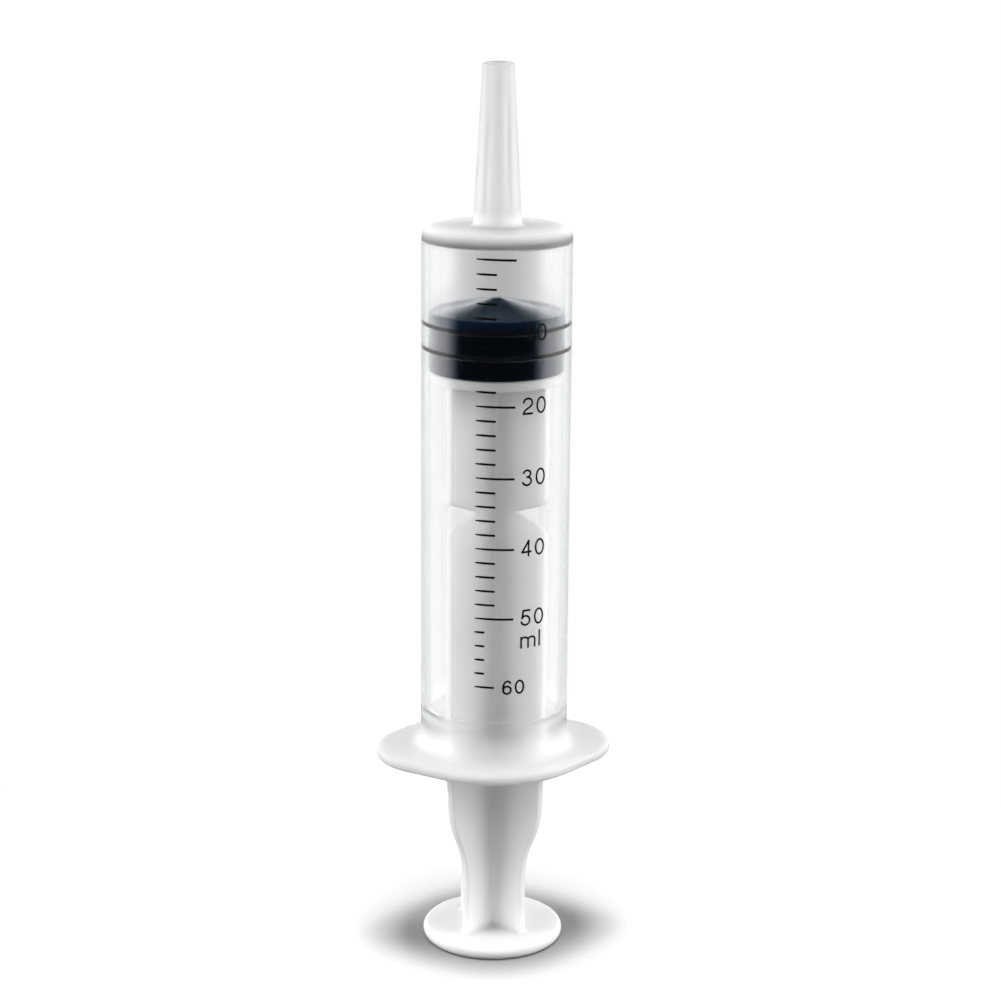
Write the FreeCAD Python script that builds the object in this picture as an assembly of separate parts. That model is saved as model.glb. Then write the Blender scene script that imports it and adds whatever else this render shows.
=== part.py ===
import FreeCAD, Part
import os
from math import atan2, hypot, pi, radians, sin, tan

# Disposable 60 ml syringe with a catheter tip, standing on its thumb rest with the tip up.
# Millimetres. The origin is the middle of the thumb rest's underside, +Z runs along the axis to the tip,
# and X runs along the two wings of the finger flange.

# Scale and stroke
capacity_ml = 60.0             # swept volume between the zero line and the last line
bore_radius = 14.5             # inside of the barrel
reading_ml = 10.1              # what the front sealing rib reads as the syringe stands
open_end_past_full = 20.3      # barrel below its last line, down to the open end

# Barrel wall, end wall and shoulder
barrel_wall = 1.25             # at the tip end, where the draft starts
outer_draft = 0.0014           # radius gained for each millimetre towards the flange
end_corner_past_zero = 1.95    # inner corner of the end wall above the zero line
end_wall_top = 4.55            # outer face of the end wall above the zero line
shoulder_round = 2.4
end_corner_round = 0.6
nose_clearance = 0.3           # stopper's cone to the end wall when the syringe is empty
stop_short = 0.55              # front seal below the zero line when the syringe is empty
mouth_chamfer = 0.7            # lead-in at the open end
bead_height = 0.3              # retention bead, radially
bead_crest = 0.6               # along the axis
bead_slope = 1.0               # run of each flank along the axis
bead_from_open_end = 9.0

# Catheter tip
tip_length = 33.45
tip_root_radius = 5.1
tip_end_radius = 3.23
tip_end_round = 0.7
tip_root_fillet = 1.1
outlet_radius = 1.95           # straight part of the bore, at the mouth
outlet_length = 14.0
outlet_root_radius = 2.6       # where the bore opens into the barrel

# Finger flange: a round middle with two narrower wing tips
flange_thickness = 2.4
flange_middle_radius = 21.0
wing_tip_radius = 13.0
wing_reach = 25.6              # from the axis to the end of a wing
flange_edge_round = 0.9
flange_root_fillet = 2.3

# Thumb rest
rest_radius = 15.4
rest_thickness = 2.35
rest_edge_round = 1.05
dish_radius = 11.6             # shallow dish on the side that the thumb presses
dish_depth = 0.5
grip_rings = 3
grip_ring_height = 0.3
grip_ring_width = 1.0
grip_ring_pitch = 2.9

# Ribbed stem
rod_length = 128.4             # underside of the thumb rest to the face that pushes the stopper
web_thickness = 1.8
web_edge_round = 0.35
first_web_deg = 38.0           # turn of the first web from X
rib_clearance = 0.63           # rib edge to the bore
foot_rib_radius = 8.95         # narrow foot of the ribs
waist_low_corner = 19.9        # where the two tangents of the S curve bend, above the floor
waist_high_corner = 29.6
foot_fillet = 1.1              # webs to the thumb rest
web_corner_fillet = 0.6        # web to web, along the axis
notch_height = 98.6            # V notch in each rib, where the rod is snapped off
notch_root_radius = 6.4
notch_flank_deg = 21.0
notch_lip_round = 2.0

# Front disc and snap head
disc_clearance = 0.5           # front disc to the bore
disc_thickness = 2.0
disc_edge_round = 0.4
neck_radius = 6.4
neck_length = 3.5
head_radius = 9.2
head_height = 4.4
head_nose_radius = 5.6

# Rubber stopper
seal_clearance = 0.05          # sealing rib to the bore
body_clearance = 0.4           # stopper body to the bore
swivel_clearance = 0.08        # snap head and disc to the stopper, all round
rear_seal_height = 4.95        # above the stopper's rear face
front_seal_height = 10.15
nose_rim_rise = 2.2            # rim of the cone above the middle of the front seal
nose_rim_round = 0.8
nose_height = 15.25
seal_land = 0.7                # flat of each sealing rib, pressed on the bore
seal_flank = 0.5               # run of its flanks along the axis
seal_round = 0.35
nose_flat_radius = 0.8
nose_round = 5.0
roof_clearance = 0.6           # above the snap head
stopper_edge_round = 0.5

# Heights that follow from the sizes above
mm_per_ml = 1000.0 / (pi * bore_radius ** 2)
stopper_rear = rod_length + swivel_clearance
zero_line = stopper_rear + front_seal_height + reading_ml * mm_per_ml
full_line = zero_line - capacity_ml * mm_per_ml
open_end = full_line - open_end_past_full
end_wall_face = zero_line + end_wall_top
tip_end = end_wall_face + tip_length
barrel_radius = bore_radius + barrel_wall
stem_rib_radius = bore_radius - rib_clearance
disc_radius = bore_radius - disc_clearance
stopper_radius = bore_radius - body_clearance
seal_radius = bore_radius - seal_clearance

AXIS = FreeCAD.Vector(0, 0, 1)
ORIGIN = FreeCAD.Vector(0, 0, 0)
SNAP = 1e-4                    # lengths under this count as nothing
OVERRUN = 5.0                  # how far the hollow's section runs past the faces that it opens
ROUND_SHARE = 0.45             # most of a plate's thickness that the rounding of one edge may take
LEG_SHARE = 0.99               # most of a section's shorter leg that a corner's rounding may take


def point(r, z):
    """A point of a section, in the XZ plane."""
    return FreeCAD.Vector(r, 0, z)


def corner_arc(before, corner, after, radius):
    """Start, middle and end of the arc that rounds a corner; the radius is limited by the shorter leg."""
    back = (before - corner).normalize()
    ahead = (after - corner).normalize()
    half = back.getAngle(ahead) / 2
    leg = min((before - corner).Length, (after - corner).Length)
    radius = min(radius, LEG_SHARE * leg * tan(half))
    cut = radius / tan(half)
    centre = corner + (back + ahead).normalize() * (radius / sin(half))
    middle = centre + (corner - centre).normalize() * radius
    return corner + back * cut, middle, corner + ahead * cut


def outline(corners):
    """Closed wire through (r, z) or (r, z, rounding) corners."""
    points = [point(c[0], c[1]) for c in corners]
    rounds = [c[2] if len(c) > 2 else 0 for c in corners]
    stations = []
    edges = []
    for i, corner in enumerate(points):
        if rounds[i] > 0:
            start, middle, end = corner_arc(points[i - 1], corner, points[(i + 1) % len(points)], rounds[i])
            edges.append(Part.Arc(start, middle, end).toShape())
            stations.append((start, end))
        else:
            stations.append((corner, corner))
    for i, (_, end) in enumerate(stations):
        start = stations[(i + 1) % len(stations)][0]
        if (start - end).Length > SNAP:
            edges.append(Part.makeLine(end, start))
    return Part.Wire(Part.__sortEdges__(edges))


def turned(corners):
    """Solid of revolution about Z from a closed section."""
    return Part.Face(outline(corners)).revolve(ORIGIN, AXIS, 360)


# Barrel: tube, end wall and tip turned, then the flange
def barrel_skin():
    flange_top = open_end + flange_thickness
    skirt = barrel_radius + outer_draft * (end_wall_face - flange_top)
    return turned([
        (0, open_end),
        (skirt + flange_root_fillet, open_end),
        (skirt + flange_root_fillet, flange_top),
        (skirt, flange_top, flange_root_fillet),
        (barrel_radius, end_wall_face, shoulder_round),
        (tip_root_radius, end_wall_face, tip_root_fillet),
        (tip_end_radius, tip_end, tip_end_round),
        (0, tip_end),
    ])


def barrel_hollow():
    """Everything inside: lead-in, retention bead, bore, coned end wall and the bore of the tip."""
    cone_run = stopper_radius - nose_flat_radius
    cone_rise = nose_height - front_seal_height - nose_rim_rise
    cone_at_throat = nose_height - cone_rise * (outlet_root_radius - nose_flat_radius) / cone_run
    empty_rear = zero_line - stop_short - front_seal_height
    throat = empty_rear + cone_at_throat + nose_clearance
    bead_low = open_end + bead_from_open_end
    crest_low = bead_low + bead_slope
    crest_high = crest_low + bead_crest
    bead_radius = bore_radius - bead_height
    return turned([
        (0, open_end - OVERRUN),
        (bore_radius + mouth_chamfer + OVERRUN, open_end - OVERRUN),
        (bore_radius, open_end + mouth_chamfer),
        (bore_radius, bead_low),
        (bead_radius, crest_low),
        (bead_radius, crest_high),
        (bore_radius, crest_high + bead_slope),
        (bore_radius, zero_line + end_corner_past_zero, end_corner_round),
        (outlet_root_radius, throat),
        (outlet_radius, tip_end - outlet_length),
        (outlet_radius, tip_end + OVERRUN),
        (0, tip_end + OVERRUN),
    ])


def flange_plate():
    """Flange outline: the middle circle and the two wing circles joined by straight tangents."""
    wing_centre = wing_reach - wing_tip_radius
    lean = (flange_middle_radius - wing_tip_radius) / wing_centre
    away = FreeCAD.Vector(lean, (1 - lean ** 2) ** 0.5, 0)
    middle_touch = away * flange_middle_radius
    wing_touch = away * wing_tip_radius + FreeCAD.Vector(wing_centre, 0, 0)

    def mirrored(v, sx, sy):
        return FreeCAD.Vector(v.x * sx, v.y * sy, open_end)

    edges = []
    for side in (1, -1):
        edges.append(Part.Arc(mirrored(middle_touch, 1, side),
                              FreeCAD.Vector(0, side * flange_middle_radius, open_end),
                              mirrored(middle_touch, -1, side)).toShape())
        edges.append(Part.Arc(mirrored(wing_touch, side, 1),
                              FreeCAD.Vector(side * wing_reach, 0, open_end),
                              mirrored(wing_touch, side, -1)).toShape())
        for across in (1, -1):
            edges.append(Part.makeLine(mirrored(middle_touch, side, across), mirrored(wing_touch, side, across)))
    plate = Part.Face(Part.Wire(Part.__sortEdges__(edges))).extrude(AXIS * flange_thickness)
    rims = [e for e in plate.Edges if e.BoundBox.ZLength < SNAP]
    return plate.makeFillet(min(flange_edge_round, ROUND_SHARE * flange_thickness), rims)


def make_barrel():
    return barrel_skin().fuse(flange_plate()).removeSplitter().cut(barrel_hollow())


# Plunger rod: thumb rest, crossed webs, front disc and snap head in one moulding
def thumb_rest():
    edge_round = min(rest_edge_round, ROUND_SHARE * rest_thickness)
    rest = turned([
        (0, dish_depth),
        (dish_radius - dish_depth, dish_depth),
        (dish_radius, 0),
        (rest_radius, 0, edge_round),
        (rest_radius, rest_thickness, edge_round),
        (0, rest_thickness),
    ])
    half = grip_ring_width / 2
    crest = dish_depth - grip_ring_height
    root = (dish_depth + rest_thickness) / 2
    rings = []
    for i in range(grip_rings):
        r = (i + 1) * grip_ring_pitch
        rings.append(turned([(r - half, root), (r - half, crest), (r + half, crest), (r + half, root)]))
    return rest.fuse(rings).removeSplitter()


def web():
    """One web: two opposite ribs, with the S curved waist and the V notches."""
    top = rod_length - disc_thickness / 2
    bottom = (dish_depth + rest_thickness) / 2
    step_out = stem_rib_radius - foot_rib_radius
    step_up = waist_high_corner - waist_low_corner
    bend = atan2(step_out, step_up)
    waist_round = hypot(step_out, step_up) / 2 / tan(bend / 2)
    lip = (stem_rib_radius - notch_root_radius) * tan(radians(notch_flank_deg))
    side = [
        (foot_rib_radius, bottom),
        (foot_rib_radius, waist_low_corner, waist_round),
        (stem_rib_radius, waist_high_corner, waist_round),
        (stem_rib_radius, notch_height - lip, notch_lip_round),
        (notch_root_radius, notch_height),
        (stem_rib_radius, notch_height + lip, notch_lip_round),
        (stem_rib_radius, top),
    ]
    other = [(-c[0],) + c[1:] for c in reversed(side)]
    plate = Part.Face(outline(side + other)).extrude(FreeCAD.Vector(0, web_thickness, 0))
    plate.translate(FreeCAD.Vector(0, -web_thickness / 2, 0))
    long_edges = [e for e in plate.Edges if e.BoundBox.YLength < SNAP and e.BoundBox.ZLength > SNAP]
    return plate.makeFillet(min(web_edge_round, ROUND_SHARE * web_thickness), long_edges)


def front_end():
    """Front disc, neck and the barbed head that snaps into the stopper."""
    disc_back = rod_length - disc_thickness
    head_base = rod_length + neck_length
    return turned([
        (0, disc_back),
        (disc_radius, disc_back),
        (disc_radius, rod_length, disc_edge_round),
        (neck_radius, rod_length),
        (neck_radius, head_base),
        (head_radius, head_base),
        (head_nose_radius, head_base + head_height),
        (0, head_base + head_height),
    ])


def reach(edge):
    """Greatest distance of an edge's box from the axis."""
    box = edge.BoundBox
    return hypot(max(abs(box.XMin), abs(box.XMax)), max(abs(box.YMin), abs(box.YMax)))


def make_plunger_rod():
    first = web()
    second = first.copy()
    second.rotate(ORIGIN, AXIS, 90)
    cross = first.fuse(second).removeSplitter()
    corners = [e for e in cross.Edges if reach(e) < web_thickness and e.BoundBox.ZLength > rod_length / 2]
    cross = cross.makeFillet(web_corner_fillet, corners)
    rod = cross.fuse([thumb_rest(), front_end()]).removeSplitter()
    roots = []
    for e in rod.Edges:
        box = e.BoundBox
        on_rest = box.ZLength < SNAP and abs(box.ZMin - rest_thickness) < SNAP
        if on_rest and reach(e) < foot_rib_radius + web_thickness:
            roots.append(e)
    rod = rod.makeFillet(foot_fillet, roots)
    rod.rotate(ORIGIN, AXIS, first_web_deg)
    return rod


# Stopper: turned rubber cup with two sealing ribs and an undercut lip
def make_stopper():
    half = seal_land / 2
    throat_radius = neck_radius + swivel_clearance
    cup_radius = head_radius + 2 * swivel_clearance
    lip_top = neck_length - 2 * swivel_clearance
    roof = neck_length + head_height + roof_clearance
    rear = [
        (0, roof),
        (head_nose_radius + roof_clearance, roof),
        (cup_radius, lip_top),
        (throat_radius, lip_top),
        (throat_radius, 0),
        (stopper_radius, 0, stopper_edge_round),
    ]
    rear_seal = [
        (stopper_radius, rear_seal_height - half - seal_flank),
        (seal_radius, rear_seal_height - half, seal_round),
        (seal_radius, rear_seal_height + half, seal_round),
        (stopper_radius, rear_seal_height + half + seal_flank),
    ]
    front_seal_and_nose = [
        (stopper_radius, front_seal_height - half - seal_flank),
        (seal_radius, front_seal_height - half, seal_round),
        (seal_radius, front_seal_height + half, seal_round),
        (stopper_radius, front_seal_height + nose_rim_rise, nose_rim_round),
        (nose_flat_radius, nose_height, nose_round),
        (0, nose_height),
    ]
    body = turned(rear + rear_seal + front_seal_and_nose)
    body.translate(FreeCAD.Vector(0, 0, stopper_rear))
    return body


os.makedirs("parts", exist_ok=True)
for name, make in (("barrel", make_barrel), ("plunger_rod", make_plunger_rod), ("stopper", make_stopper)):
    make().exportStep(os.path.join("parts", name + ".step"))
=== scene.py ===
import random
from math import cos, pi, radians, sin, tan

import bpy
from bpy.props import FloatProperty, FloatVectorProperty, IntProperty, PointerProperty
from mathutils import Matrix, Vector


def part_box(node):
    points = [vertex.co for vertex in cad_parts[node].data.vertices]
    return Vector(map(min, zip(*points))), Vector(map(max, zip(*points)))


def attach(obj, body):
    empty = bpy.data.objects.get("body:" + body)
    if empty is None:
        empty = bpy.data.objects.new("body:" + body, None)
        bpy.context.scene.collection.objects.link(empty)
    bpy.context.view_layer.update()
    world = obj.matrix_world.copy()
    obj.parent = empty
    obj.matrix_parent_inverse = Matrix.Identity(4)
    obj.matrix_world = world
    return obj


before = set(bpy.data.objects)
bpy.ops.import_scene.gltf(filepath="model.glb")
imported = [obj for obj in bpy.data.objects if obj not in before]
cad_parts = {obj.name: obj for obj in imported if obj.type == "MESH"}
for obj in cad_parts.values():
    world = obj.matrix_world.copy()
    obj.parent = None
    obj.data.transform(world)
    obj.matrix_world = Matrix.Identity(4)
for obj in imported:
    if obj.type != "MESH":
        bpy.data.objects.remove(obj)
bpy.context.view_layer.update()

# Looks of a disposable syringe: the clear barrel with its printed scale, the white plunger rod, the rubber
# stopper and a white studio. Metres; the origin is the middle of the thumb rest's underside, and +Z runs to
# the tip.

bl_info = {
    "name": "Disposable syringe looks",
    "version": (1, 0, 0),
    "blender": (4, 5, 0),
    "location": "3D Viewport > Sidebar > Syringe",
    "description": "Plastics, rubber, printed scale and studio of a disposable syringe",
    "category": "Object",
}

MM = 0.001
BARREL_LOW, BARREL_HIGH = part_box("barrel")
STOPPER_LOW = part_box("stopper")[0]

IMAGE_PIXELS = 1001                # width and height of the picture
SENSOR_MM = 36.0                   # the camera's film, which only sets the unit of its focal length
NEAREST, FARTHEST = 0.01, 20.0     # what the camera shows, in metres from it

POLYPROPYLENE_IOR = 1.49
RUBBER_IOR = 1.52
INK_IOR = 1.5
WHITE_LIGHT = (1.0, 1.0, 1.0, 1.0)
NOISE_LOW, NOISE_HIGH = 0.3, 0.7   # a noise texture seldom leaves this range
WAVES_ALONG = 0.35                 # flow waves along the barrel for each one round it

SEAL_SIDES = 240
FLOOR_SIDES = 96
INK_STEP = 0.5 * MM                # straight piece of an ink line, which bends round the barrel
INK_START = 0.55                   # share of its width that an ink line has at its left end
INK_GROWTH = 1.6                   # share that it gains for its whole length, up to its full width
UNEVEN_START_MM = 0.12             # how unevenly the lines start
UNEVEN_SEED = 60


def linear(code):
    """Linear red, green and blue of an sRGB hex colour such as #F2F3F3."""
    values = [int(code[i:i + 2], 16) / 255 for i in (1, 3, 5)]
    return tuple(v / 12.92 if v <= 0.04045 else ((v + 0.055) / 1.055) ** 2.4 for v in values)


def length(name, description, default_mm):
    """A size, given in millimetres and kept in metres."""
    return FloatProperty(name=name, description=description, default=default_mm * MM, unit="LENGTH",
                         precision=5)


def angle(name, description, default_degrees):
    """An angle, given in degrees and kept in radians."""
    return FloatProperty(name=name, description=description, default=radians(default_degrees),
                         subtype="ANGLE")


def colour(name, description, code):
    """A colour, given as an sRGB hex value and kept linear."""
    return FloatVectorProperty(name=name, description=description, default=linear(code), size=3,
                               min=0.0, max=1.0, subtype="COLOR")


def share(name, description, default):
    """A share from 0 to 1."""
    return FloatProperty(name=name, description=description, default=default, min=0.0, max=1.0,
                         subtype="FACTOR")


def brightness(name, description, default):
    """A brightness; the eye sees 1 as white."""
    return FloatProperty(name=name, description=description, default=default, min=0.0)


class SyringeBarrelLooks(bpy.types.PropertyGroup):
    clear_colour: colour("Clear colour", "Tint of light that passes through the wall", "#F9FAFA")
    milk_colour: colour("Milk colour", "Colour of the light that the thick parts scatter", "#FAFBFB")
    end_milk: share("Milk of the end wall", "Share that the end wall scatters deep inside", 0.85)
    tip_milk: share("Milk of the tip", "Share that the tip scatters deep inside", 0.3)
    flange_milk: share("Milk of the flange", "Share that the flange scatters deep inside", 0.85)
    glow_depth: length("Glow depth", "How far light wanders inside the thick parts", 10.0)
    end_frost: share("Frost of the tip", "Share of the end wall's and the tip's surface that is frosted", 0.5)
    let_in: share("Light let in", "Share of the lamps' light that a face of the thin wall lets through", 0.95)
    bore_haze: share("Haze of the bore", "Haze of the bore where it is seen at a flat angle", 0.3)
    haze_start: share("Haze start", "Flatness of the view at which that haze starts", 0.15)
    haze_full: share("Haze full", "Flatness of the view at which that haze is full", 0.45)
    wall_middle: length("Middle of the wall", "Radius between the bore and the outside", 15.1)
    tip: length("Tip", "Length of the tip, down to the end wall's outer face", 33.45)
    end_frost_low: length("End frost start", "Where the frost starts, from the end wall's outer face", -4.0)
    end_frost_high: length("End frost full", "Where the frost is full, from the same face", -1.5)
    end_milk_low: length("End milk start", "Where the milk starts, from the same face", -2.4)
    tip_milk_low: length("Tip milk start", "Where the milk starts to thin, from the same face", 0.5)
    tip_milk_high: length("Tip milk end", "Where the milk is as thin as the tip's, from the same face", 4.0)
    flange_top: length("Flange top", "Upper face of the flange above the open end", 2.4)
    flange_frost_run: length("Flange frost", "How far the flange's frost runs up the barrel", 14.0)
    flange_milk_run: length("Flange milk", "How far the flange's milk runs up the barrel", 8.0)
    flange_shade_run: length("Flange shade", "How far up the barrel the flange stops the lamps' light", 2.0)
    wave: length("Flow wave", "Distance between the faint waves that the flow of the melt leaves", 7.0)
    wave_depth: length("Flow wave depth", "Height of these waves", 0.006)


class SyringeRodLooks(bpy.types.PropertyGroup):
    white_colour: colour("White", "Colour of the moulded rod", "#EDEDED")
    warm_colour: colour("Warm white", "Colour where the pigment is a little denser", "#EAEAE9")
    cloud: length("Cloud", "Distance between the clouds of denser pigment", 12.0)
    glow_depth: length("Glow depth", "How far light wanders inside the plastic", 4.5)
    grain: length("Mould grain", "Grain of the spark-eroded mould, drawn coarser than the real 0.1 mm", 0.35)
    grain_depth: length("Mould grain depth", "Height of this grain", 0.006)


class SyringeStopperLooks(bpy.types.PropertyGroup):
    rubber_colour: colour("Rubber", "Colour of the rubber", "#050B12")
    # Painted sheen: this navy is painted into the rubber's colour ahead of the front rib and stands in for
    # the blue shine of the up-facing cone
    nose_colour: colour("Nose", "Colour ahead of the front rib, where the oil dries to a haze", "#0A1B2B")
    # Height over which that painted navy sheen fades in
    nose_fade: length("Nose fade", "Height over which the rubber's colour turns into the nose's", 1.0)
    pressed_colour: colour("Pressed rubber", "Paler spots of the rubber pressed on the bore", "#15171B")
    oil_colour: colour("Silicone film", "Tint of the silicone oil's shine", "#3A80C4")
    bloom_colour: colour("Bloom", "Blue bloom that the oil leaves on the rubber", "#2A78A6")
    smear: length("Oil smear", "Distance between the smears of the oil", 6.0)
    smear_depth: length("Oil smear depth", "Height of these smears", 0.002)
    squeeze: length("Squeeze", "Distance between the paler spots of the pressed rubber", 2.0)
    seal_low: length("Rear seal height", "Rear sealing rib above the stopper's rear face", 4.95)
    seal_high: length("Front seal height", "Front sealing rib above the stopper's rear face", 10.15)
    seal_width: length("Seal width", "Width of the band of rubber that is pressed on the bore", 0.8)
    seal_bite: length("Seal bite", "How far that band stands into the wall, to leave no air between", 0.05)
    seal_root: length("Seal root", "How far that band reaches inwards from the bore", 0.2)


class SyringePrintSizes(bpy.types.PropertyGroup):
    bore_radius: length("Bore radius", "Inside of the barrel, which gives the rise of each millilitre", 14.5)
    wall: length("Wall", "Wall of the barrel at its end wall", 1.25)
    draft: FloatProperty(name="Draft", description="Radius gained for each metre towards the flange",
                         default=0.0014, precision=4)
    full_line: length("Full line", "Last line of the scale above the open end", 20.3)
    end_wall: length("End wall", "Outer face of the end wall above the zero line", 4.55)
    capacity_ml: IntProperty(name="Capacity", description="Millilitres at the last line", default=60,
                             min=20, max=60)
    step_ml: IntProperty(name="Step", description="Millilitres between two lines", default=2, min=1)
    number_step_ml: IntProperty(name="Number step", description="Millilitres between two numbers", default=10,
                                min=10)
    azimuth: angle("Azimuth", "Where the print faces, from -Y towards +X", -10.0)
    line_start: length("Line start", "Left end of the lines along the girth", -4.1)
    short_end: length("Short line end", "Right end of the short lines", -0.2)
    long_end: length("Long line end", "Right end of the numbered lines", 3.78)
    stub_end: length("Stub end", "Right end of the lines between the last two numbers", -2.33)
    line_width: length("Line width", "Thickness of the ink lines", 0.46)
    line_skew: angle("Line skew", "How far the lines fall to the right", 1.8)
    digit_start: length("Number start", "Left edge of the numbers along the girth", 5.6)
    last_digit_start: length("Last number start", "Left edge of the number at the last line", 1.75)
    digit_height: length("Number height", "Height of the numbers", 3.5)
    last_digit_height: length("Last number height", "Height of the number at the last line", 3.05)
    digit_gap: length("Number gap", "Gap between two digits", 0.82)
    stroke: length("Stroke", "Thickness of the digits' strokes", 0.43)
    unit_drop: length("Unit drop", "Foot of the unit below the last long line", 6.65)
    ink_lift: length("Ink thickness", "How far the ink stands off the wall and sinks into it", 0.02)
    ink_colour: colour("Ink", "Colour of the dried ink", "#060606")
    thin_ink_colour: colour("Thin ink", "Colour where the ink is thin", "#121110")
    cover: length("Ink cover", "Distance between the thin spots of the ink", 0.5)


class SyringeStageSizes(bpy.types.PropertyGroup):
    floor_radius: length("Floor radius", "Radius of the white floor", 150.0)
    floor_colour: colour("Floor", "Colour of the floor", "#B4B4B4")
    fibre_colour: colour("Fibre", "Colour of its fibres", "#AEAEAE")
    fibre: length("Fibre size", "Size of its fibres, drawn coarser than the real 0.05 mm", 1.5)
    floor_bounce: colour("Floor bounce", "Colour that the floor lends to the object above it", "#404040")
    floor_glow: share("Floor glow", "Light that the eye sees on the floor whatever falls on it", 0.05)
    floor_through: share("Floor through plastic", "The same for an eye that looks through the plastic", 0.4)
    camera_side: length("Camera side", "Camera along X", -83.60)
    camera_back: length("Camera back", "Camera along Y", -480.32)
    camera_height: length("Camera height", "Camera above the floor", 231.755)
    camera_turn: angle("Camera turn", "Turn of the view from +Y towards +X", 10.0)
    camera_tilt: angle("Camera tilt", "How far the camera looks down", 15.155)
    camera_roll: angle("Camera roll", "Roll of the camera about its view", 0.4526)
    focal_pixels: FloatProperty(name="Focal length", description="Focal length in picture pixels",
                                default=2371.0)
    room_dark: brightness("Room", "Brightness of the room in front and above", 0.01)
    room_card: brightness("Card", "Brightness of the narrow grey card behind the object", 0.57)
    room_panels: brightness("Panels", "Brightness of the white panels beside that card", 0.92)
    room_top: brightness("Card top", "Brightness of the upper part of that card", 1.7)
    room_sides: brightness("Side lights", "Brightness of the two wide side lights", 2.0)
    soft_front: brightness("Soft light all round", "Light on matt faces from all round", 0.06)
    soft_top: brightness("Soft light from above", "Light on matt faces from above", 0.8)
    side_width: length("Side lamp width", "Width of the two side lamps", 560.0)
    side_height: length("Side lamp height", "Height of the two side lamps", 520.0)
    side_low: length("Side lamp foot", "Foot of the two side lamps above the floor", 75.0)
    side_away: length("Side lamp distance", "Distance of the side lamps from the axis", 600.0)
    side_turn: angle("Side lamp turn", "Middle of each side lamp, round from the camera", 80.0)
    side_level: brightness("Side lamp brightness", "Brightness of the faces of the side lamps", 6.8)
    top_size: length("Shadow lamp size", "Size of the overhead lamp that lights the floor", 400.0)
    top_height: length("Shadow lamp height", "Its height", 1200.0)
    top_forward: length("Shadow lamp forward", "How far it stands towards the camera", 40.0)
    top_level: brightness("Shadow lamp level", "Brightness that it gives to a matt white floor", 2.35)


# Materials
def add_node(tree, kind, inputs=None, **settings):
    """Add a node. inputs maps a socket's name or number to a value or to the socket that feeds it."""
    node = tree.nodes.new(kind)
    for name, value in settings.items():
        setattr(node, name, value)
    for key, value in (inputs or {}).items():
        socket = node.inputs[key]
        if isinstance(value, bpy.types.NodeSocket):
            tree.links.new(value, socket)
        else:
            socket.default_value = value
    return node


def new_material(name):
    """A material with an empty node tree, and that tree."""
    material = bpy.data.materials.new(name)
    material.use_nodes = True
    material.node_tree.nodes.clear()
    return material, material.node_tree


def rgba(rgb):
    """A colour as a shader's socket takes it."""
    return (rgb[0], rgb[1], rgb[2], 1.0)


def haze_on_bore(tree, looks, place):
    """Share of haze: on the bore alone, and only where it is seen at a flat angle."""
    view = add_node(tree, "ShaderNodeLayerWeight", {"Blend": 0.5})
    flat_view = add_node(tree, "ShaderNodeMapRange", {
        "Value": view.outputs["Facing"], "From Min": looks.haze_start, "From Max": looks.haze_full,
        "To Max": looks.bore_haze}, interpolation_type="SMOOTHSTEP")
    from_axis = add_node(tree, "ShaderNodeMapping", {"Vector": place, "Scale": (1.0, 1.0, 0.0)})
    radius = add_node(tree, "ShaderNodeVectorMath", {0: from_axis.outputs[0]}, operation="LENGTH")
    on_bore = add_node(tree, "ShaderNodeMath", {0: radius.outputs["Value"], 1: looks.wall_middle},
                       operation="LESS_THAN")
    haze = add_node(tree, "ShaderNodeMath", {0: on_bore.outputs[0], 1: flat_view.outputs["Result"]},
                    operation="MULTIPLY")
    return haze.outputs[0]


def frost_and_milk(tree, looks, place):
    """Shares by height: the frost and the milk of the barrel's two thick ends, and how far they hold back the
    lamps' light."""
    height = add_node(tree, "ShaderNodeSeparateXYZ", {0: place}).outputs["Z"]
    end_wall = BARREL_HIGH.z - looks.tip
    flange_top = BARREL_LOW.z + looks.flange_top
    shares = {}
    # Each row: its name, the two heights between which it changes, and its values below and above them
    for name, low, high, below, above in (
            ("end_frost", end_wall + looks.end_frost_low, end_wall + looks.end_frost_high,
             0.0, looks.end_frost),
            ("flange_frost", flange_top, flange_top + looks.flange_frost_run, 1.0, 0.0),
            ("end_milk", end_wall + looks.end_milk_low, end_wall, 0.0, looks.end_milk),
            ("tip_thinning", end_wall + looks.tip_milk_low, end_wall + looks.tip_milk_high,
             1.0, looks.tip_milk / looks.end_milk),
            ("flange_milk", flange_top, flange_top + looks.flange_milk_run, looks.flange_milk, 0.0),
            ("flange_shade", flange_top, flange_top + looks.flange_shade_run, 1.0, 0.0)):
        ramp = add_node(tree, "ShaderNodeMapRange", {
            "Value": height, "From Min": low, "From Max": high, "To Min": below, "To Max": above},
            interpolation_type="SMOOTHSTEP")
        shares[name] = ramp.outputs["Result"]
    for name, first, second, operation in (
            ("frost", "end_frost", "flange_frost", "MAXIMUM"),
            ("top_milk", "end_milk", "tip_thinning", "MULTIPLY"),
            ("milk", "top_milk", "flange_milk", "MAXIMUM"),
            ("shade", "top_milk", "flange_shade", "MAXIMUM")):
        joined = add_node(tree, "ShaderNodeMath", {0: shares[first], 1: shares[second]}, operation=operation)
        shares[name] = joined.outputs[0]
    return shares


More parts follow.
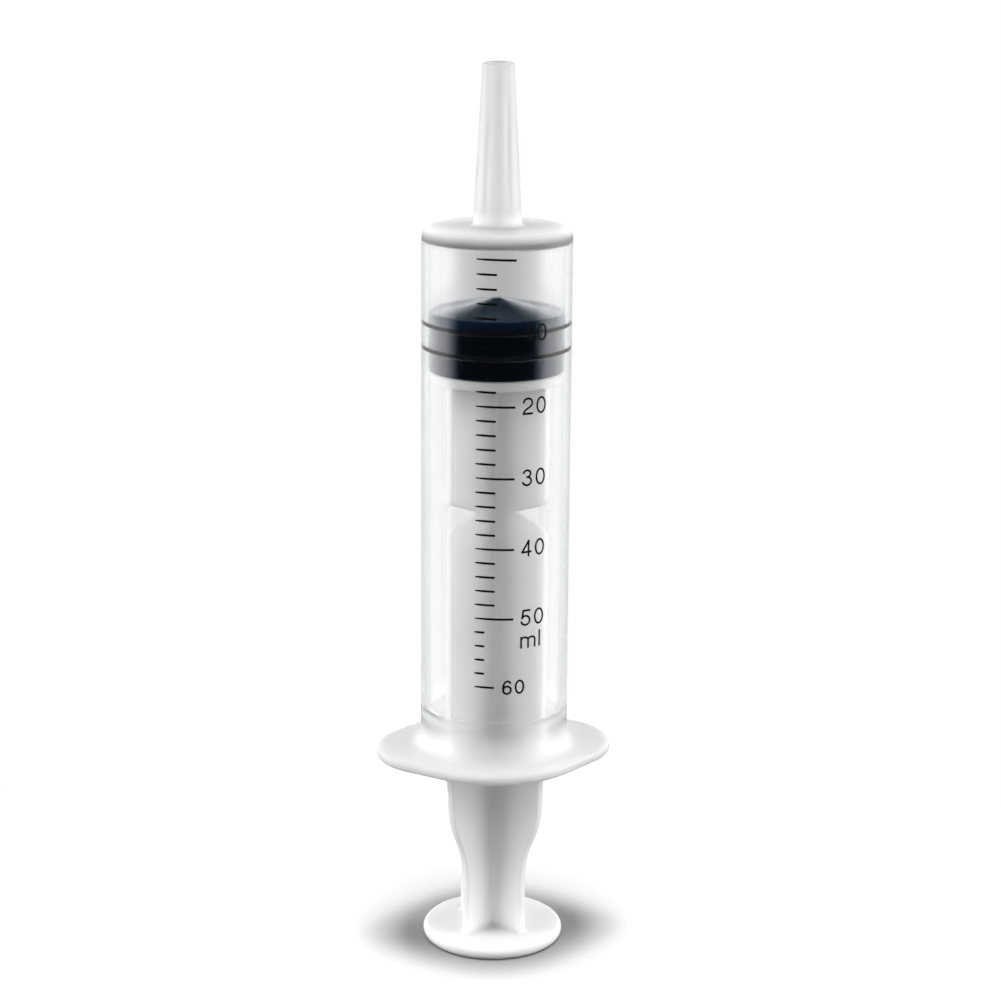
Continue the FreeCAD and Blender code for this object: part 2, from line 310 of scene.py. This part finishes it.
def polished_clear_polypropylene(looks):
    """Random copolymer polypropylene moulded against polished steel: the tube is clear head on and hazy along
    the bore, with a gloss that faint flow waves unsettle. The thick end wall, tip and flange look milky."""
    material, tree = new_material("polished_clear_polypropylene")
    place = add_node(tree, "ShaderNodeTexCoord").outputs["Object"]
    stretch = add_node(tree, "ShaderNodeMapping", {"Vector": place, "Scale": (1.0, 1.0, WAVES_ALONG)})
    wave = add_node(tree, "ShaderNodeTexNoise", {"Vector": stretch.outputs[0], "Scale": 1 / looks.wave,
                                                 "Detail": 2.0})
    bump = add_node(tree, "ShaderNodeBump", {"Height": wave.outputs["Fac"], "Strength": 1.0,
                                             "Distance": looks.wave_depth})
    gloss = add_node(tree, "ShaderNodeMapRange", {
        "Value": wave.outputs["Fac"], "From Min": NOISE_LOW, "From Max": NOISE_HIGH,
        "To Min": 0.05, "To Max": 0.10})
    finishes = {}
    for name, roughness, transmission in (
            ("clear", gloss.outputs["Result"], 1.0),
            ("hazy", 0.55, 0.85),
            ("frosted", 0.42, 1.0)):
        plastic = add_node(tree, "ShaderNodeBsdfPrincipled", {
            "Base Color": rgba(looks.clear_colour), "Roughness": roughness, "IOR": POLYPROPYLENE_IOR,
            "Transmission Weight": transmission, "Normal": bump.outputs["Normal"]})
        finishes[name] = plastic.outputs[0]
    milky = add_node(tree, "ShaderNodeBsdfPrincipled", {
        "Base Color": rgba(looks.milk_colour), "Roughness": 0.42, "IOR": POLYPROPYLENE_IOR,
        "Specular IOR Level": 0.3, "Subsurface Weight": 1.0, "Subsurface Radius": (1.0, 1.0, 1.0),
        "Subsurface Scale": looks.glow_depth, "Normal": bump.outputs["Normal"]})
    finishes["milky"] = milky.outputs[0]
    let_in = add_node(tree, "ShaderNodeBsdfTransparent", {"Color": rgba([looks.let_in] * 3)})
    finishes["open"] = let_in.outputs[0]
    haze = haze_on_bore(tree, looks, place)
    shares = frost_and_milk(tree, looks, place)
    path = add_node(tree, "ShaderNodeLightPath")
    # Lamps meet a thin wall as open, and the thick parts as milk
    for name, amount, under, over in (
            ("thin_wall", haze, "clear", "hazy"),
            ("frosted_wall", shares["frost"], "thin_wall", "frosted"),
            ("wall", shares["milk"], "frosted_wall", "milky"),
            ("to_lamp", shares["shade"], "open", "milky"),
            ("surface", path.outputs["Is Shadow Ray"], "wall", "to_lamp")):
        mixed = add_node(tree, "ShaderNodeMixShader", {0: amount, 1: finishes[under], 2: finishes[over]})
        finishes[name] = mixed.outputs[0]
    add_node(tree, "ShaderNodeOutputMaterial", {"Surface": finishes["surface"]})
    return material


def satin_white_polypropylene(looks):
    """Polypropylene filled with white pigment, moulded in a spark-eroded tool: a soft satin with a fine
    grain, and light that wanders a little inside the ribs."""
    material, tree = new_material("satin_white_polypropylene")
    place = add_node(tree, "ShaderNodeTexCoord").outputs["Object"]
    cloud = add_node(tree, "ShaderNodeTexNoise", {"Vector": place, "Scale": 1 / looks.cloud, "Detail": 3.0})
    tone = add_node(tree, "ShaderNodeMix", {
        "Factor": cloud.outputs["Fac"], "A": rgba(looks.white_colour), "B": rgba(looks.warm_colour)},
        data_type="RGBA")
    grain = add_node(tree, "ShaderNodeTexNoise", {"Vector": place, "Scale": 1 / looks.grain, "Detail": 2.0})
    satin = add_node(tree, "ShaderNodeMapRange", {
        "Value": grain.outputs["Fac"], "From Min": NOISE_LOW, "From Max": NOISE_HIGH,
        "To Min": 0.34, "To Max": 0.46})
    bump = add_node(tree, "ShaderNodeBump", {"Height": grain.outputs["Fac"], "Strength": 0.6,
                                             "Distance": looks.grain_depth})
    plastic = add_node(tree, "ShaderNodeBsdfPrincipled", {
        "Base Color": tone.outputs["Result"], "Roughness": satin.outputs["Result"], "IOR": POLYPROPYLENE_IOR,
        "Subsurface Weight": 0.9, "Subsurface Radius": (1.0, 0.99, 0.98),
        "Subsurface Scale": looks.glow_depth, "Normal": bump.outputs["Normal"]})
    add_node(tree, "ShaderNodeOutputMaterial", {"Surface": plastic.outputs[0]})
    return material


def siliconed_black_rubber(looks):
    """Carbon-black isoprene rubber, moulded smooth and wiped with silicone oil: near black under a glossy
    film, with a blue tint in its shine, and a painted navy sheen on the cone ahead of the front rib."""
    material, tree = new_material("siliconed_black_rubber")
    place = add_node(tree, "ShaderNodeTexCoord").outputs["Object"]
    smear = add_node(tree, "ShaderNodeTexNoise", {"Vector": place, "Scale": 1 / looks.smear, "Detail": 2.0})
    gloss = add_node(tree, "ShaderNodeMapRange", {
        "Value": smear.outputs["Fac"], "From Min": NOISE_LOW, "From Max": NOISE_HIGH,
        "To Min": 0.10, "To Max": 0.15})
    bump = add_node(tree, "ShaderNodeBump", {"Height": smear.outputs["Fac"], "Strength": 0.5,
                                             "Distance": looks.smear_depth})
    # Painted sheen: from the front rib up, the rubber's colour turns navy to stand in for the blue shine of
    # the up-facing cone
    height = add_node(tree, "ShaderNodeSeparateXYZ", {0: place}).outputs["Z"]
    front = STOPPER_LOW.z + looks.seal_high
    painted_sheen = add_node(tree, "ShaderNodeMapRange", {"Value": height, "From Min": front,
                                                 "From Max": front + looks.nose_fade})
    tone = add_node(tree, "ShaderNodeMix", {
        "Factor": painted_sheen.outputs["Result"], "A": rgba(looks.rubber_colour), "B": rgba(looks.nose_colour)},
        data_type="RGBA")
    rubber = add_node(tree, "ShaderNodeBsdfPrincipled", {
        "Base Color": tone.outputs["Result"], "Roughness": gloss.outputs["Result"], "IOR": RUBBER_IOR,
        "Specular IOR Level": 0.38, "Specular Tint": rgba(looks.oil_colour), "Sheen Weight": 0.04,
        "Sheen Roughness": 0.4, "Sheen Tint": rgba(looks.bloom_colour), "Normal": bump.outputs["Normal"]})
    add_node(tree, "ShaderNodeOutputMaterial", {"Surface": rubber.outputs[0]})
    return material


def pressed_black_rubber(looks):
    """The same rubber where it is squeezed on the wall: wetted by the oil, with no air between, so it shows
    dark right out to the wall's edge."""
    material, tree = new_material("pressed_black_rubber")
    place = add_node(tree, "ShaderNodeTexCoord").outputs["Object"]
    squeeze = add_node(tree, "ShaderNodeTexNoise", {"Vector": place, "Scale": 1 / looks.squeeze,
                                                    "Detail": 2.0})
    tone = add_node(tree, "ShaderNodeMix", {
        "Factor": squeeze.outputs["Fac"], "A": rgba(looks.rubber_colour), "B": rgba(looks.pressed_colour)},
        data_type="RGBA")
    rubber = add_node(tree, "ShaderNodeBsdfPrincipled", {
        "Base Color": tone.outputs["Result"], "Roughness": 0.6, "IOR": RUBBER_IOR, "Specular IOR Level": 0.1})
    add_node(tree, "ShaderNodeOutputMaterial", {"Surface": rubber.outputs[0]})
    return material


def printed_black_ink(sizes):
    """Screen ink cured on the plastic: a thin matt black film, a little uneven in its cover."""
    material, tree = new_material("printed_black_ink")
    place = add_node(tree, "ShaderNodeTexCoord").outputs["Object"]
    cover = add_node(tree, "ShaderNodeTexNoise", {"Vector": place, "Scale": 1 / sizes.cover, "Detail": 3.0})
    tone = add_node(tree, "ShaderNodeMix", {
        "Factor": cover.outputs["Fac"], "A": rgba(sizes.ink_colour), "B": rgba(sizes.thin_ink_colour)},
        data_type="RGBA")
    ink = add_node(tree, "ShaderNodeBsdfPrincipled", {
        "Base Color": tone.outputs["Result"], "Roughness": 0.55, "IOR": INK_IOR, "Specular IOR Level": 0.1})
    add_node(tree, "ShaderNodeOutputMaterial", {"Surface": ink.outputs[0]})
    return material


def matt_white_card(sizes):
    """Matt white background card: the eye sees it a little brighter than its light makes it, it keeps the
    object's soft shadow, and it lends the object only a dim bounce."""
    material, tree = new_material("matt_white_card")
    place = add_node(tree, "ShaderNodeTexCoord").outputs["Object"]
    fibre = add_node(tree, "ShaderNodeTexNoise", {"Vector": place, "Scale": 1 / sizes.fibre, "Detail": 2.0})
    tone = add_node(tree, "ShaderNodeMix", {
        "Factor": fibre.outputs["Fac"], "A": rgba(sizes.floor_colour), "B": rgba(sizes.fibre_colour)},
        data_type="RGBA")
    path = add_node(tree, "ShaderNodeLightPath")
    through_plastic = path.outputs["Is Transmission Ray"]
    seen = add_node(tree, "ShaderNodeMath", {0: path.outputs["Is Camera Ray"], 1: through_plastic},
                    operation="MAXIMUM")
    shown = add_node(tree, "ShaderNodeMix", {
        "Factor": seen.outputs[0], "A": rgba(sizes.floor_bounce), "B": tone.outputs["Result"]},
        data_type="RGBA")
    matt = add_node(tree, "ShaderNodeBsdfDiffuse", {"Color": shown.outputs["Result"], "Roughness": 0.4})
    through = add_node(tree, "ShaderNodeMath", {0: through_plastic, 1: sizes.floor_through},
                       operation="MULTIPLY")
    level = add_node(tree, "ShaderNodeMath", {0: seen.outputs[0], 1: sizes.floor_glow, 2: through.outputs[0]},
                     operation="MULTIPLY_ADD")
    glow = add_node(tree, "ShaderNodeEmission", {"Color": WHITE_LIGHT, "Strength": level.outputs[0]})
    surface = add_node(tree, "ShaderNodeAddShader", {0: matt.outputs[0], 1: glow.outputs[0]})
    add_node(tree, "ShaderNodeOutputMaterial", {"Surface": surface.outputs[0]})
    return material


# Shared geometry
def mesh_piece(name, vertices, faces, material, body):
    """A mesh object that rides on a body."""
    mesh = bpy.data.meshes.new(name)
    mesh.from_pydata(vertices, [], faces)
    mesh.validate()
    mesh.materials.append(material)
    piece = bpy.data.objects.new(name, mesh)
    bpy.context.scene.collection.objects.link(piece)
    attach(piece, body)


def dress(node, material):
    """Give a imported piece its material."""
    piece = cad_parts[node]
    for material_slot in piece.material_slots:
        material_slot.material = material


def band(inner, outer, low, high, sides):
    """Vertices and faces of a closed ring of rectangular section about Z."""
    vertices = []
    faces = []
    section = ((inner, low), (outer, low), (outer, high), (inner, high))
    corners = len(section)
    for i in range(sides):
        turn = 2 * pi * i / sides
        vertices += [(r * cos(turn), r * sin(turn), z) for r, z in section]
        here, there = corners * i, corners * ((i + 1) % sides)
        for k in range(corners):
            after = (k + 1) % corners
            faces.append((here + k, there + k, there + after, here + after))
    return vertices, faces


def line(x0, y0, x1, y1, pieces=6):
    """Points of a straight stroke."""
    return [Vector((x0 + (x1 - x0) * i / pieces, y0 + (y1 - y0) * i / pieces)) for i in range(pieces + 1)]


def arc(x, y, rx, ry, start, end, pieces=16):
    """Points of an elliptic arc; degrees run anticlockwise from the right."""
    turns = [radians(start + (end - start) * i / pieces) for i in range(pieces + 1)]
    return [Vector((x + rx * cos(t), y + ry * sin(t))) for t in turns]


def bend(p0, p1, p2, p3, pieces=10):
    """Points of a cubic curve."""
    points = []
    for i in range(pieces + 1):
        t = i / pieces
        s = 1 - t
        weights = (s ** 3, 3 * s * s * t, 3 * s * t * t, t ** 3)
        points.append(sum((Vector(p) * w for p, w in zip((p0, p1, p2, p3), weights)), Vector((0.0, 0.0))))
    return points


# The signs' strokes in units of the sign's height: the middles of their lines, from FOOT up to HEAD
FOOT, HEAD = 0.045, 0.955
DIGIT_WIDTH = 0.665
LETTER_WIDTHS = {"m": 1.01, "l": 0.10}
L_MIDDLE = 0.05
M_LEFT, M_HEAD = 0.045, 0.66
HUMP_FOOT, HUMP_MIDDLE = 0.45, 0.49
HUMP_RADIUS, HUMP_RISE = 0.23, 0.175
STROKES = {
    "0": [arc(0.333, 0.5, 0.285, 0.455, 0, 360, 32)],
    "1": [line(0.44, FOOT, 0.44, HEAD), arc(0.14, 0.985, 0.30, 0.25, 270, 352, 8)],
    "2": [arc(0.335, 0.70, 0.275, 0.255, 172, -28)
          + bend((0.578, 0.58), (0.49, 0.38), (0.08, 0.34), (0.06, FOOT)),
          line(0.06, FOOT, 0.60, FOOT)],
    "3": [arc(0.32, 0.748, 0.225, 0.207, 163, -88),
          arc(0.32, 0.293, 0.275, 0.248, 88, -163)],
    "4": [line(0.47, FOOT, 0.47, HEAD), line(0.46, 0.94, 0.055, 0.275), line(0.055, 0.27, 0.62, 0.27)],
    "5": [line(0.17, HEAD, 0.57, HEAD), line(0.165, 0.94, 0.11, 0.50),
          arc(0.315, 0.332, 0.28, 0.287, 145, -160)],
    "6": [arc(0.335, 0.315, 0.275, 0.27, 0, 360, 32),
          arc(0.37, 0.46, 0.31, 0.495, 190, 90) + arc(0.37, 0.755, 0.205, 0.20, 90, 22, 8)],
    "m": [line(M_LEFT, FOOT, M_LEFT, M_HEAD)] + [
        arc(M_LEFT + (humps - 1) * HUMP_RADIUS, HUMP_MIDDLE, HUMP_RADIUS, HUMP_RISE, 180, 0)
        + line(M_LEFT + humps * HUMP_RADIUS, HUMP_FOOT, M_LEFT + humps * HUMP_RADIUS, FOOT)
        for humps in (2, 4)],
    "l": [line(L_MIDDLE, FOOT, L_MIDDLE, HEAD)],
}


def stroke_borders(path, half_widths):
    """Left and right border of a stroke with square ends, in the flat of the print."""
    closed = (path[0] - path[-1]).length < 1e-9
    last = len(path) - 1
    borders = []
    for i, here in enumerate(path):
        before = path[i - 1] if i > 0 else (path[-2] if closed else here)
        after = path[i + 1] if i < last else (path[1] if closed else here)
        along = (after - before).normalized()
        if not closed and i == 0:
            here = here - along * half_widths[i]
        if not closed and i == last:
            here = here + along * half_widths[i]
        side = Vector((-along.y, along.x)) * half_widths[i]
        borders.append((here + side, here - side))
    return borders


class InkFilm:
    """Collects strokes as thin closed strips wrapped on the barrel."""

    def __init__(self, sizes):
        self.sizes = sizes
        self.vertices = []
        self.faces = []
        cubic_metres_per_ml = 1e-6
        self.ml_rise = cubic_metres_per_ml / (pi * sizes.bore_radius ** 2)
        self.full_line = BARREL_LOW.z + sizes.full_line
        zero_line = self.full_line + sizes.capacity_ml * self.ml_rise
        self.end_wall = zero_line + sizes.end_wall

    def height(self, ml):
        """Height of the line of a volume."""
        return self.full_line + (self.sizes.capacity_ml - ml) * self.ml_rise

    def on_barrel(self, flat, lift):
        """A point of the flat print, (along the girth, height), on the drafted wall."""
        sizes = self.sizes
        radius = sizes.bore_radius + sizes.wall + sizes.draft * (self.end_wall - flat.y) + lift
        turn = sizes.azimuth + flat.x / radius
        return (radius * sin(turn), -radius * cos(turn), flat.y)

    def add(self, path, half_widths):
        """One stroke, as a strip of rectangular section with closed ends."""
        lift = self.sizes.ink_lift
        first = len(self.vertices)
        borders = stroke_borders(path, half_widths)
        for left, right in borders:
            self.vertices += [self.on_barrel(left, -lift), self.on_barrel(left, lift),
                              self.on_barrel(right, lift), self.on_barrel(right, -lift)]
        for i in range(len(borders) - 1):
            a, b = first + 4 * i, first + 4 * (i + 1)
            for k in range(4):
                after = (k + 1) % 4
                self.faces.append((a + k, a + after, b + after, b + k))
        end = first + 4 * (len(borders) - 1)
        self.faces.append((first + 3, first + 2, first + 1, first))
        self.faces.append((end, end + 1, end + 2, end + 3))

    def write(self, text, start, middle_height, height):
        """A short text whose left edge and middle height are given."""
        x = start
        half = self.sizes.stroke / 2
        for sign in text:
            for stroke in STROKES[sign]:
                path = [Vector((x + p.x * height, middle_height + (p.y - 0.5) * height)) for p in stroke]
                self.add(path, [half] * len(path))
            width = LETTER_WIDTHS.get(sign, DIGIT_WIDTH)
            x += width * height + self.sizes.digit_gap * height / self.sizes.digit_height

    def rule(self, ml, start, end):
        """One line of the scale, thin at its left end where the ink starts."""
        height = self.height(ml)
        fall = tan(self.sizes.line_skew)
        pieces = max(4, round((end - start) / INK_STEP))
        path = []
        half_widths = []
        for i in range(pieces + 1):
            t = i / pieces
            u = start + (end - start) * t
            path.append(Vector((u, height - fall * u)))
            half_widths.append(self.sizes.line_width / 2 * min(1.0, INK_START + INK_GROWTH * t))
        self.add(path, half_widths)


# Operators
class SYRINGE_OT_barrel(bpy.types.Operator):
    """Give the barrel its clear, milky polypropylene"""
    bl_idname = "syringe.barrel"
    bl_label = "Barrel"

    def execute(self, context):
        dress("barrel", polished_clear_polypropylene(context.scene.syringe_barrel))
        return {"FINISHED"}


class SYRINGE_OT_plunger_rod(bpy.types.Operator):
    """Give the plunger rod its satin white polypropylene"""
    bl_idname = "syringe.plunger_rod"
    bl_label = "Plunger rod"

    def execute(self, context):
        dress("plunger_rod", satin_white_polypropylene(context.scene.syringe_rod))
        return {"FINISHED"}


class SYRINGE_OT_stopper(bpy.types.Operator):
    """Give the stopper its rubber, and add the two bands of rubber that are pressed on the bore"""
    bl_idname = "syringe.stopper"
    bl_label = "Stopper and its pressed bands"

    def execute(self, context):
        looks = context.scene.syringe_stopper
        bore = context.scene.syringe_print.bore_radius
        dress("stopper", siliconed_black_rubber(looks))
        pressed = pressed_black_rubber(looks)
        for name, height in (("seal_band_rear", looks.seal_low), ("seal_band_front", looks.seal_high)):
            middle = STOPPER_LOW.z + height
            vertices, faces = band(bore - looks.seal_root, bore + looks.seal_bite,
                                   middle - looks.seal_width / 2, middle + looks.seal_width / 2, SEAL_SIDES)
            mesh_piece(name, vertices, faces, pressed, "stopper")
        return {"FINISHED"}


class SYRINGE_OT_printed_scale(bpy.types.Operator):
    """Print the scale on the barrel: the lines, their numbers and the unit"""
    bl_idname = "syringe.printed_scale"
    bl_label = "Printed scale"

    def execute(self, context):
        sizes = context.scene.syringe_print
        film = InkFilm(sizes)
        uneven = random.Random(UNEVEN_SEED)
        last_long = sizes.capacity_ml - sizes.number_step_ml
        for ml in range(0, sizes.capacity_ml + 1, sizes.step_ml):
            numbered = ml % sizes.number_step_ml == 0 and ml <= last_long
            end = sizes.long_end if numbered else sizes.short_end
            if last_long < ml < sizes.capacity_ml:
                end = sizes.stub_end
            start = sizes.line_start + uneven.uniform(0.0, UNEVEN_START_MM) * MM
            film.rule(ml, start, end)
            if numbered and ml > 0:
                film.write(str(ml), sizes.digit_start, film.height(ml), sizes.digit_height)
        film.write(str(sizes.capacity_ml), sizes.last_digit_start, film.full_line, sizes.last_digit_height)
        unit_foot = film.full_line + sizes.number_step_ml * film.ml_rise - sizes.unit_drop
        film.write("ml", sizes.digit_start, unit_foot + sizes.digit_height / 2, sizes.digit_height)
        mesh_piece("printed_scale", film.vertices, film.faces, printed_black_ink(sizes), "barrel")
        return {"FINISHED"}


def make_floor(sizes):
    """A round white card under the syringe."""
    turns = [2 * pi * i / FLOOR_SIDES for i in range(FLOOR_SIDES)]
    rim = [(sizes.floor_radius * cos(turn), sizes.floor_radius * sin(turn), 0.0) for turn in turns]
    mesh = bpy.data.meshes.new("floor")
    mesh.from_pydata(rim, [], [tuple(range(FLOOR_SIDES))])
    mesh.materials.append(matt_white_card(sizes))
    floor = bpy.data.objects.new("floor", mesh)
    bpy.context.scene.collection.objects.link(floor)
    return floor


def make_lamp(name, width, height, place, target, radiance):
    """A rectangular lamp that lights matt faces and isn't seen or mirrored; radiance is its face's."""
    light = bpy.data.lights.new(name, "AREA")
    light.shape = "RECTANGLE"
    light.size = width
    light.size_y = height
    light.energy = radiance * pi * width * height
    lamp = bpy.data.objects.new(name, light)
    lamp.location = place
    lamp.rotation_euler = (Vector(target) - Vector(place)).to_track_quat("-Z", "Y").to_euler()
    lamp.visible_camera = False
    lamp.visible_glossy = False
    lamp.visible_transmission = False
    bpy.context.scene.collection.objects.link(lamp)
    return lamp


def light_only(lamp, thing, state):
    """INCLUDE: the lamp lights only this thing. EXCLUDE: it lights all but this thing."""
    lit = bpy.data.collections.new(f"{lamp.name}_{state.lower()}")
    lit.objects.link(thing)
    lit.collection_objects[0].light_linking.link_state = state
    lamp.light_linking.receiver_collection = lit


def studio_ramps(tree, sizes):
    """Levels of the studio by direction, once the room is turned to face the camera: X runs across, Y away
    from the camera and Z up."""
    way = add_node(tree, "ShaderNodeTexCoord").outputs["Generated"]
    turned = add_node(tree, "ShaderNodeMapping", {"Vector": way, "Rotation": (0.0, 0.0, sizes.camera_turn)})
    parts = add_node(tree, "ShaderNodeSeparateXYZ", {0: turned.outputs[0]})
    across = add_node(tree, "ShaderNodeMath", {0: parts.outputs["X"]}, operation="ABSOLUTE").outputs[0]
    away, up = parts.outputs["Y"], parts.outputs["Z"]
    ramps = {}
    # Each row: its name, its axis, the part of that axis on which it changes, and its values before and after
    for name, axis, start, full, before, after in (
            ("side_light", across, 0.5, 0.95, 0.0, sizes.room_sides),
            ("not_in_front", away, -0.5, 0.0, 0.0, 1.0),
            ("card", across, 0.005, 0.075, sizes.room_card, sizes.room_panels),
            ("behind", away, 0.55, 0.85, 0.0, 1.0),
            ("not_above", up, 0.32, 0.55, 1.0, 0.0),
            ("card_rise", up, 0.08, 0.3, 1.0, sizes.room_top / sizes.room_card),
            ("below", up, -0.65, -0.35, 1.0, 0.0),
            ("ceiling", up, 0.4, 0.9, sizes.soft_front, sizes.soft_top)):
        ramp = add_node(tree, "ShaderNodeMapRange", {
            "Value": axis, "From Min": start, "From Max": full, "To Min": before, "To Max": after},
            interpolation_type="SMOOTHSTEP")
        ramps[name] = ramp.outputs["Result"]
    return ramps


def make_world(sizes):
    """White to the eye. Everything else meets a studio: dark in front and above, a wide light on each side
    and a grey card behind. An eye that looks straight through clear plastic meets that card's levels on
    every side and a white table below, and matt faces get a soft light, mostly from above."""
    world = bpy.data.worlds.new("white_studio")
    world.use_nodes = True
    tree = world.node_tree
    tree.nodes.clear()
    levels = studio_ramps(tree, sizes)
    path = add_node(tree, "ShaderNodeLightPath")
    levels["through_plastic"] = path.outputs["Is Transmission Ray"]
    straight = add_node(tree, "ShaderNodeMath", {0: path.outputs["Glossy Depth"], 1: 0.5},
                        operation="LESS_THAN")
    levels["straight"] = straight.outputs[0]
    for name, first, second in (
            ("sides", "side_light", "not_in_front"),
            ("on_card", "behind", "not_above"),
            ("lit_card", "card", "card_rise"),
            ("table", "below", "through_plastic"),
            ("straight_through", "straight", "through_plastic")):
        product = add_node(tree, "ShaderNodeMath", {0: levels[first], 1: levels[second]},
                           operation="MULTIPLY")
        levels[name] = product.outputs[0]
    back = add_node(tree, "ShaderNodeMix", {
        "Factor": levels["on_card"], "A": sizes.room_dark, "B": levels["lit_card"]}, data_type="FLOAT")
    studio = add_node(tree, "ShaderNodeMath", {0: levels["sides"], 1: back.outputs["Result"]},
                      operation="ADD")
    seen = add_node(tree, "ShaderNodeMix", {
        "Factor": levels["straight_through"], "A": studio.outputs[0], "B": levels["card"]}, data_type="FLOAT")
    room = add_node(tree, "ShaderNodeMath", {0: seen.outputs["Result"], 1: levels["table"]},
                    operation="MAXIMUM")
    matt = add_node(tree, "ShaderNodeMath", {0: path.outputs["Diffuse Depth"], 1: 1.0}, operation="MINIMUM")
    light = add_node(tree, "ShaderNodeMix", {
        "Factor": matt.outputs[0], "A": room.outputs[0], "B": levels["ceiling"]}, data_type="FLOAT")
    level = add_node(tree, "ShaderNodeMix", {
        "Factor": path.outputs["Is Camera Ray"], "A": light.outputs["Result"], "B": 1.0}, data_type="FLOAT")
    sky = add_node(tree, "ShaderNodeBackground", {"Color": WHITE_LIGHT, "Strength": level.outputs["Result"]})
    add_node(tree, "ShaderNodeOutputWorld", {"Surface": sky.outputs[0]})
    world.cycles.sampling_method = "NONE"
    bpy.context.scene.world = world


def make_camera(sizes):
    """The camera that took the picture, solved on the barrel."""
    lens = bpy.data.cameras.new("photo_camera")
    lens.sensor_width = SENSOR_MM
    lens.lens = sizes.focal_pixels / IMAGE_PIXELS * SENSOR_MM
    lens.clip_start = NEAREST
    lens.clip_end = FARTHEST
    camera = bpy.data.objects.new("photo_camera", lens)
    aim = Matrix.Rotation(-sizes.camera_turn, 4, "Z") @ Matrix.Rotation(pi / 2 - sizes.camera_tilt, 4, "X")
    place = Matrix.Translation((sizes.camera_side, sizes.camera_back, sizes.camera_height))
    camera.matrix_world = place @ aim @ Matrix.Rotation(sizes.camera_roll, 4, "Z")
    bpy.context.scene.collection.objects.link(camera)
    bpy.context.scene.camera = camera


class SYRINGE_OT_stage(bpy.types.Operator):
    """Build the white floor, the lamps, the room and the camera"""
    bl_idname = "syringe.stage"
    bl_label = "Stage"

    def execute(self, context):
        sizes = context.scene.syringe_stage
        floor = make_floor(sizes)
        toward_camera = -pi / 2 - sizes.camera_turn
        # The floor gets this share of what a whole sky as bright as the lamp would give
        sky_share = sizes.top_size ** 2 / sizes.top_height ** 2 / pi
        place = (sizes.top_forward * cos(toward_camera), sizes.top_forward * sin(toward_camera),
                 sizes.top_height)
        above = make_lamp("shadow_lamp", sizes.top_size, sizes.top_size, place, (0.0, 0.0, 0.0),
                          sizes.top_level / sky_share)
        light_only(above, floor, "INCLUDE")
        middle = sizes.side_low + sizes.side_height / 2
        for name, way in (("side_lamp_left", -1), ("side_lamp_right", 1)):
            turn = toward_camera + way * sizes.side_turn
            place = (sizes.side_away * cos(turn), sizes.side_away * sin(turn), middle)
            lamp = make_lamp(name, sizes.side_width, sizes.side_height, place, (0.0, 0.0, middle),
                             sizes.side_level)
            light_only(lamp, floor, "EXCLUDE")
        make_world(sizes)
        make_camera(sizes)
        context.scene.view_settings.view_transform = "Standard"
        return {"FINISHED"}


class SYRINGE_PT_sidebar(bpy.types.Panel):
    """Lists the operators, and the sizes and colours that they use"""
    bl_label = "Syringe"
    bl_idname = "SYRINGE_PT_sidebar"
    bl_space_type = "VIEW_3D"
    bl_region_type = "UI"
    bl_category = "Syringe"

    def draw(self, context):
        for operator in OPERATORS:
            self.layout.operator(operator.bl_idname)
        for name, group in GROUPS.items():
            box = self.layout.box()
            box.label(text=name.replace("_", " ").capitalize())
            for key in group.__annotations__:
                box.prop(getattr(context.scene, name), key)


GROUPS = {
    "syringe_barrel": SyringeBarrelLooks,
    "syringe_rod": SyringeRodLooks,
    "syringe_stopper": SyringeStopperLooks,
    "syringe_print": SyringePrintSizes,
    "syringe_stage": SyringeStageSizes,
}
OPERATORS = (SYRINGE_OT_barrel, SYRINGE_OT_plunger_rod, SYRINGE_OT_stopper, SYRINGE_OT_printed_scale,
             SYRINGE_OT_stage)
CLASSES = tuple(GROUPS.values()) + OPERATORS + (SYRINGE_PT_sidebar,)


def register():
    for cls in CLASSES:
        bpy.utils.register_class(cls)
    for name, group in GROUPS.items():
        setattr(bpy.types.Scene, name, PointerProperty(type=group))


def unregister():
    for name in GROUPS:
        delattr(bpy.types.Scene, name)
    for cls in reversed(CLASSES):
        bpy.utils.unregister_class(cls)


def main():
    register()
    bpy.ops.syringe.barrel()
    bpy.ops.syringe.plunger_rod()
    bpy.ops.syringe.stopper()
    bpy.ops.syringe.printed_scale()
    bpy.ops.syringe.stage()


if __name__ == "__main__":
    main()
